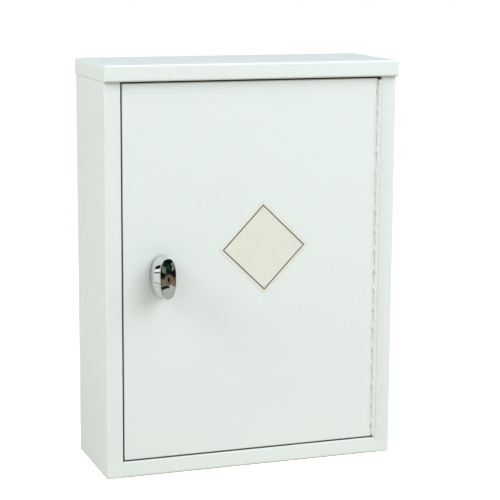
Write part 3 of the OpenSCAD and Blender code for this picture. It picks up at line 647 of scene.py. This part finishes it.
def make_label():
    paper = make_vinyl("label_vinyl", (0.80, 0.785, 0.70), 0.42)
    ink = make_vinyl("label_ink", (0.035, 0.035, 0.035), 0.5)
    insets = [(0, 0), (0, LABEL_THICK - LABEL_EDGE), (LABEL_EDGE, LABEL_THICK), (BORDER_INSET, LABEL_THICK),
              (BORDER_INSET + BORDER_WIDTH, LABEL_THICK), (MIDDLE_INSET, LABEL_THICK)]
    border = 3
    rings = [diamond_ring(*inset) for inset in insets]
    label = solid("diamond_label", loft(rings), LABEL_CENTRE, paper)
    label.data.materials.append(ink)
    sides = len(rings[0])
    for polygon in label.data.polygons:
        if len(polygon.vertices) == 4 and min(polygon.vertices) // sides == border:
            polygon.material_index = 1
    label.data.set_sharp_from_angle(angle=LABEL_SHARP)
    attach(label, "door")
    return label


label = make_label()
print("label:", len(label.data.polygons), "faces")

# %% [markdown]
# Where one small thing repeats at an even pitch, Geometry Nodes place it: a line of points with an
# instance on each. The count and the step are inputs of the group, so the same group lays the paint
# beads between the knuckles and the spot welds. The result is made a plain mesh before it rides.

# %% Repeats with Geometry Nodes
def repeat_group():
    group = bpy.data.node_groups.new("repeat_on_a_line", "GeometryNodeTree")
    for name, kind in (("Item", "NodeSocketObject"), ("Count", "NodeSocketInt"),
                       ("Step", "NodeSocketVector"), ("Finish", "NodeSocketMaterial")):
        group.interface.new_socket(name, in_out="INPUT", socket_type=kind)
    group.interface.new_socket("Geometry", in_out="OUTPUT", socket_type="NodeSocketGeometry")
    given = group.nodes.new("NodeGroupInput").outputs
    line = add_node(group, "GeometryNodeMeshLine", {"Count": given["Count"], "Offset": given["Step"]})
    item = add_node(group, "GeometryNodeObjectInfo", {"Object": given["Item"]})
    placed = add_node(group, "GeometryNodeInstanceOnPoints",
                      {"Points": line.outputs[0], "Instance": item.outputs["Geometry"]})
    real = add_node(group, "GeometryNodeRealizeInstances", {"Geometry": placed.outputs[0]})
    done = add_node(group, "GeometryNodeSetMaterial",
                    {"Geometry": real.outputs[0], "Material": given["Finish"]})
    add_node(group, "NodeGroupOutput", {"Geometry": done.outputs[0]})
    return group


REPEAT = repeat_group()


def repeat(name, item, count, step, material, start):
    """Copies of an item mesh at an even step, as one plain mesh that starts at a place."""
    holder = add_object(name, bpy.data.meshes.new(name + "_line"))
    modifier = holder.modifiers.new("repeat", "NODES")
    modifier.node_group = REPEAT
    sockets = {socket.name: socket.identifier for socket in REPEAT.interface.items_tree
               if socket.in_out == "INPUT"}
    modifier[sockets["Item"]] = item
    modifier[sockets["Count"]] = count
    modifier[sockets["Step"]] = step
    modifier[sockets["Finish"]] = material
    bpy.context.view_layer.update()
    mesh = bpy.data.meshes.new_from_object(holder.evaluated_get(bpy.context.evaluated_depsgraph_get()))
    holder.modifiers.remove(modifier)
    mesh.name = name
    mesh.transform(Matrix.Translation(start))
    holder.data = mesh
    bpy.data.objects.remove(item)
    return holder


print("repeat group has", len(REPEAT.nodes), "nodes")

# %% [markdown]
# The hinge is welded on before the cabinet is painted, so the coat bridges the joint between the door's
# edge and every knuckle that the door carries, and leaves a fine line beside the frame's knuckles. Seen
# from the front, that is what makes the hinge look stitched. One bead is a short loft, and the group
# repeats it at the pitch of the knuckles. A low lip of paint runs down the door's edge behind them.

# %% Paint beads beside the door's knuckles
# Millimetres: the hinge, the first knuckle that the door carries and the step to its next, and the gap
# from the hinge's axis to the door's edge.
HINGE_LOW, HINGE_LENGTH = 23.0, 432.1
FIRST_KNUCKLE, KNUCKLE_LENGTH, KNUCKLE_STEP, KNUCKLES = 33.45, 11.4, 23.8, 18
EDGE_GAP, LIP_SHARP = 2.2, math.radians(50)
ORIGIN = Vector((0, 0, 0))


def make_beads():
    """The paint runs over the joint between the door's skin and each knuckle that the door carries."""
    hinge_front = HINGE.y / MM
    edge = HINGE.x / MM - EDGE_GAP
    face = DOOR_FACE_Y / MM
    outline = [(edge - 1.6, face + 0.02), (edge - 0.9, face - 0.07), (edge - 0.45, face - 0.28),
               (edge - 0.14, hinge_front + 0.32), (edge + 0.02, hinge_front - 0.25),
               (edge + 0.4, hinge_front), (edge + 0.3, face + 0.02)]
    rings = [[(x, y, z) for x, y in outline] for z in (0, KNUCKLE_LENGTH)]
    item = solid("bead", loft(rings), ORIGIN, hinge_paint)
    lip_outline = [(edge - 1.1, face + 0.02), (edge - 0.7, face - 0.05), (edge - 0.35, face - 0.22),
                   (edge - 0.15, face - 0.45), (edge - 0.12, face + 0.02)]
    lip_rings = [[(x, y, z) for x, y in lip_outline] for z in (0, HINGE_LENGTH)]
    lip = solid("door_edge_lip", loft(lip_rings), Vector((0, 0, HINGE_LOW * MM)), hinge_paint)
    lip.data.set_sharp_from_angle(angle=LIP_SHARP)
    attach(lip, "door")
    beads = repeat("knuckle_beads", item, KNUCKLES, (0, 0, KNUCKLE_STEP * MM), hinge_paint,
                   Vector((0, 0, FIRST_KNUCKLE * MM)))
    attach(beads, "door")
    return beads


beads = make_beads()
print("beads:", len(beads.data.polygons), "faces")

# %% [markdown]
# A spot weld leaves a shallow round dent with a faint raised ring. Two rows of them hold the stiffener to
# the door's skin. They are small, so one turned profile with few sides is enough, and the same group
# repeats it.

# %% Spot welds
# Millimetres: a weld, its row's inset from the stiffener's sides and lower end, and the door's skin.
WELD_RADIUS, WELD_INSET, WELD_FIRST, WELD_STEP, WELDS, SKIN_BACK = 2.6, 5, 10, 46, 9, 2.0


def weld_item():
    profile = [(-0.02, WELD_RADIUS), (0.07, WELD_RADIUS - 0.15), (0.10, WELD_RADIUS - 0.45),
               (0.04, WELD_RADIUS - 0.9), (0.03, 0.05)]
    return solid("weld", turned(profile, sides=32), ORIGIN, door_paint)


def make_weld_rows():
    low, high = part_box("door_stiffener")
    back = DOOR_FACE_Y + SKIN_BACK * MM
    rows = []
    for name, x in (("welds_left", low.x + WELD_INSET * MM), ("welds_right", high.x - WELD_INSET * MM)):
        item = weld_item()
        item.data.transform(Matrix.Rotation(math.pi, 4, "Z"))
        start = Vector((x, back, low.z + WELD_FIRST * MM))
        row = repeat(name, item, WELDS, (0, 0, WELD_STEP * MM), door_paint, start)
        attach(row, "door")
        rows.append(row)
    return rows


weld_rows = make_weld_rows()
print("weld rows:", [len(row.data.polygons) for row in weld_rows])

# %% [markdown]
# Where the bottom rail meets the two uprights, the real seam is welded, filled and ground flush, so the
# paint shows one plain face. A small wedge fills each bent edge. The joint under the hinge's last
# knuckle is filled as well, which ends the gap below the door there.

# %% Ground welds at the foot of the frame
# Millimetres: the inner edge of the uprights, the ends of a seam and how far it stands proud.
SEAM_EDGE, SEAM_LOW, SEAM_HIGH, SEAM_PROUD = 158.3, 1.4, 18.4, 0.015
HINGE_FOOT = (155.9, -65.285, 19.9), (158.9, -60.985, 22.75)


def make_seams():
    face = DOOR_FACE_Y / MM + SEAM_PROUD
    corners = [(-0.1, 0), (1.7, 0), (0.9, 0.5), (0.2, 1.5), (-0.1, 0.9)]
    for name, side in (("seam_left", -1), ("seam_right", 1)):
        outline = [(side * (SEAM_EDGE + x), face + y) for x, y in corners[::side]]
        rings = [[(x, y, z) for x, y in outline] for z in (SEAM_LOW, SEAM_HIGH)]
        seam = solid(name, loft(rings), ORIGIN, body_paint)
        seam.data.shade_flat()
        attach(seam, "cabinet")
    foot = solid("hinge_foot", block(*HINGE_FOOT), ORIGIN, body_paint)
    foot.data.shade_flat()
    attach(foot, "cabinet")
    return foot


hinge_foot = make_seams()
print("seams filled, hinge foot has", len(hinge_foot.data.polygons), "faces")

# %% [markdown]
# Light never reaches the bottom of a keyway, so the pins and the mouth of the slot look black. A dark
# block inside the slot is painted shade, and so is a thin dark oval round the slot's mouth on the
# plug's face.

# %% Painted shade in the keyway
# Millimetres from the lock's axis and the door's face.
KEYWAY = (-0.93, -29.4, -3.08), (0.93, -18.7, 3.08)
MOUTH_HALF, MOUTH_OUT, MOUTH_SIDES = (1.5, 2.5), (30.5, 30.66), 32


def make_keyway():
    # Painted shade: a near-black block inside the slot and a thin near-black oval on the plug's face.
    dark = make_vinyl("keyway_painted_shade", (0.008, 0.007, 0.006), 0.3)
    inside = solid("keyway_inside", block(*KEYWAY), LOCK_FACE, dark)
    inside.data.shade_flat()
    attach(inside, "plug")
    rings = [oval(out, *MOUTH_HALF, 0, 0, MOUTH_SIDES, 1) for out in MOUTH_OUT]
    mouth = solid("keyway_mouth", loft(rings), LOCK_FACE, dark)
    mouth.data.shade_flat()
    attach(mouth, "plug")
    return inside


keyway = make_keyway()
print("keyway:", len(keyway.data.polygons), "faces")
